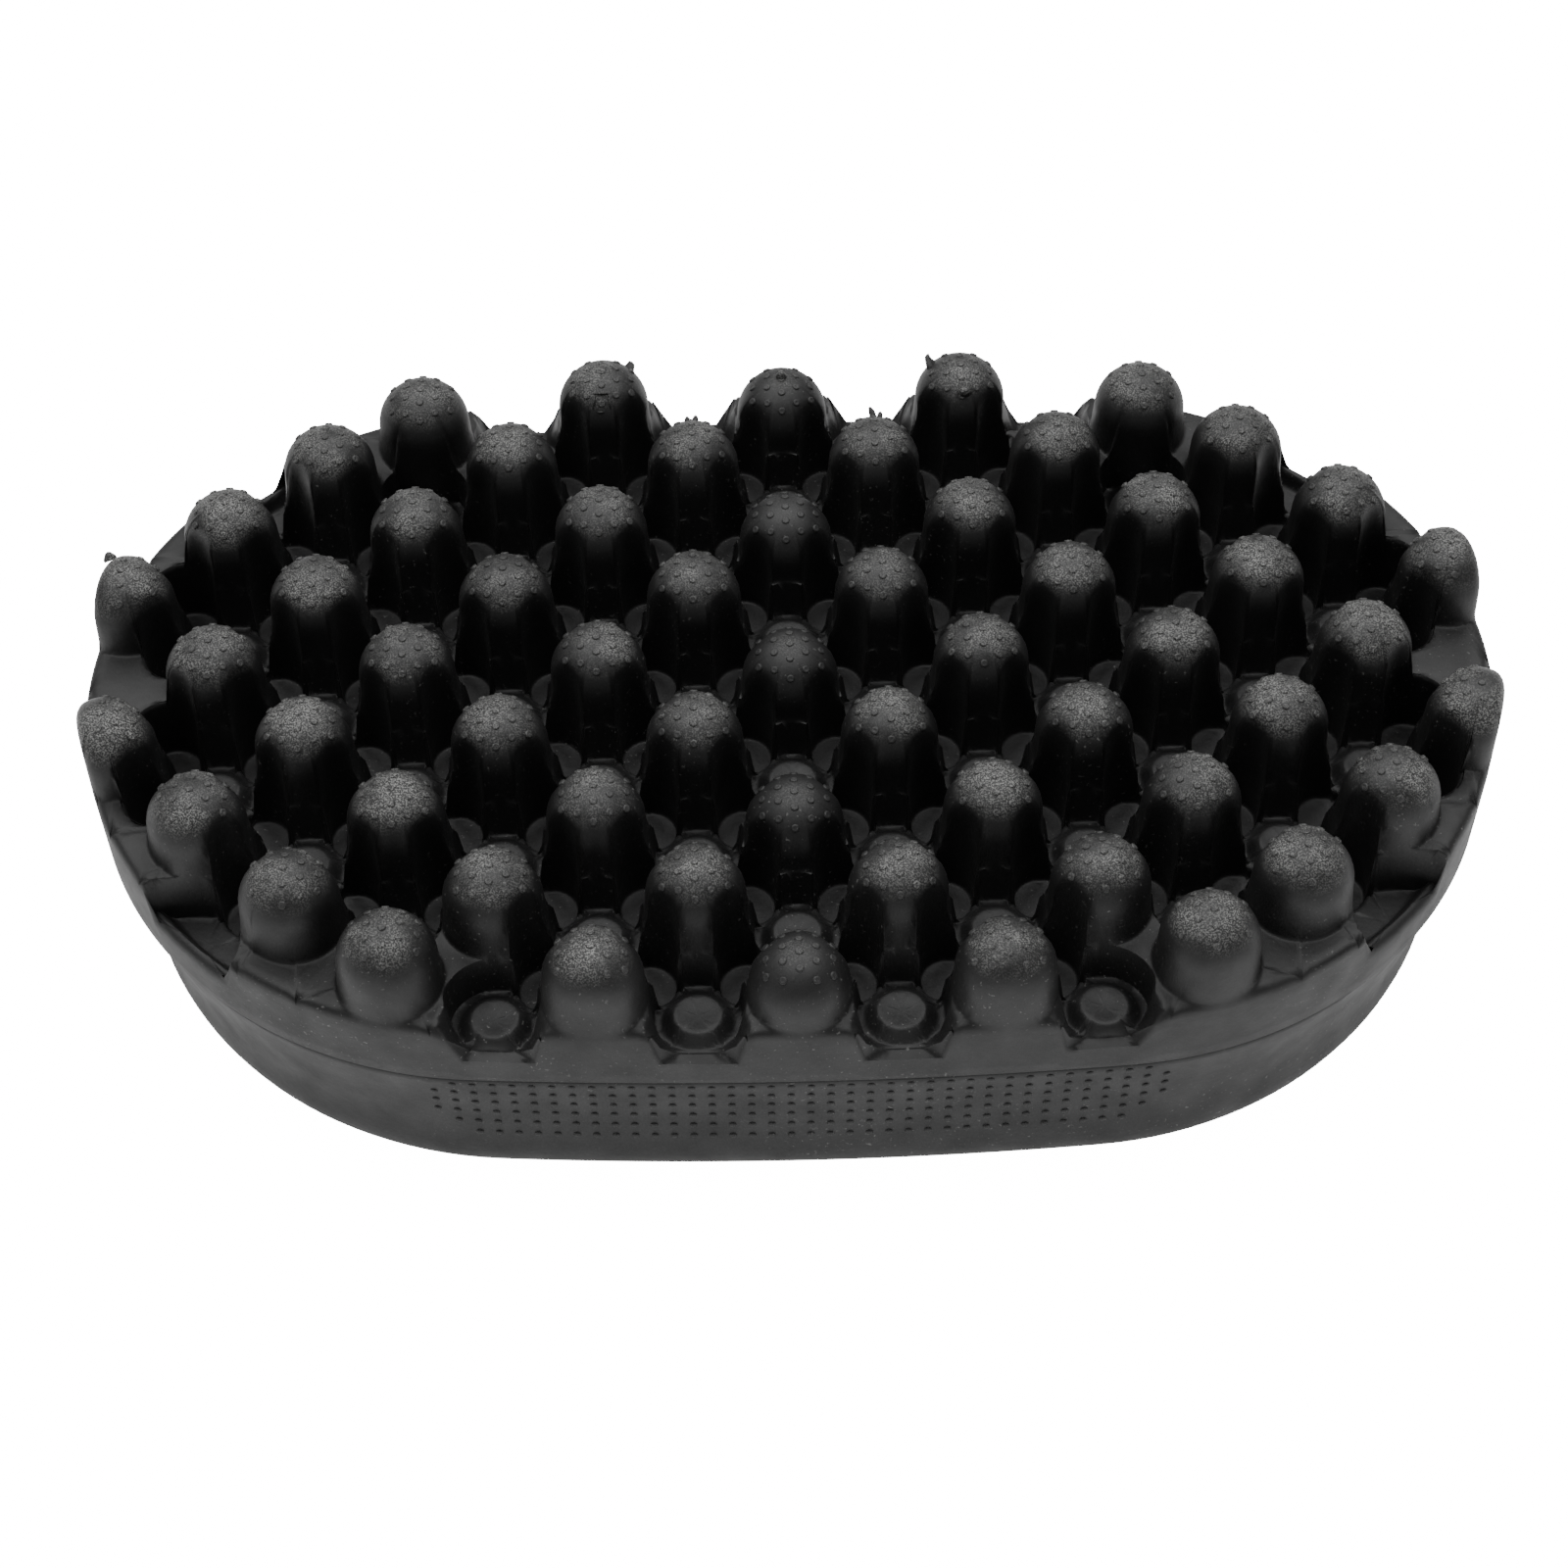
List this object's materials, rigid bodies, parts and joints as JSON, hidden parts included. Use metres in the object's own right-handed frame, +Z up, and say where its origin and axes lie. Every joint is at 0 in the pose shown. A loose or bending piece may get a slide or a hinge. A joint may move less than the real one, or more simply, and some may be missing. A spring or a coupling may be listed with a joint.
{
  "type": "curry comb",
  "caption": "Oval rubber massage curry comb: a nubbed pad with fluted round-tipped nubs, plugged into a hollow grip body with dotted finger scoops and a flat back.",
  "frame": {"origin": "middle of the flat back face that the comb rests on", "axes": "+X along the length, +Y across the comb, +Z up from the back face towards the massage nubs"},
  "size_m": [0.1328, 0.081, 0.0346],
  "materials": {
    "pad_rubber": "matte black moulded rubber with dusty tips",
    "grip_rubber": "satin black moulded rubber"
  },
  "bodies": {
    "root": {"massage_pad": "pad_rubber", "grip_body": "grip_rubber"}
  },
  "joints": []
}
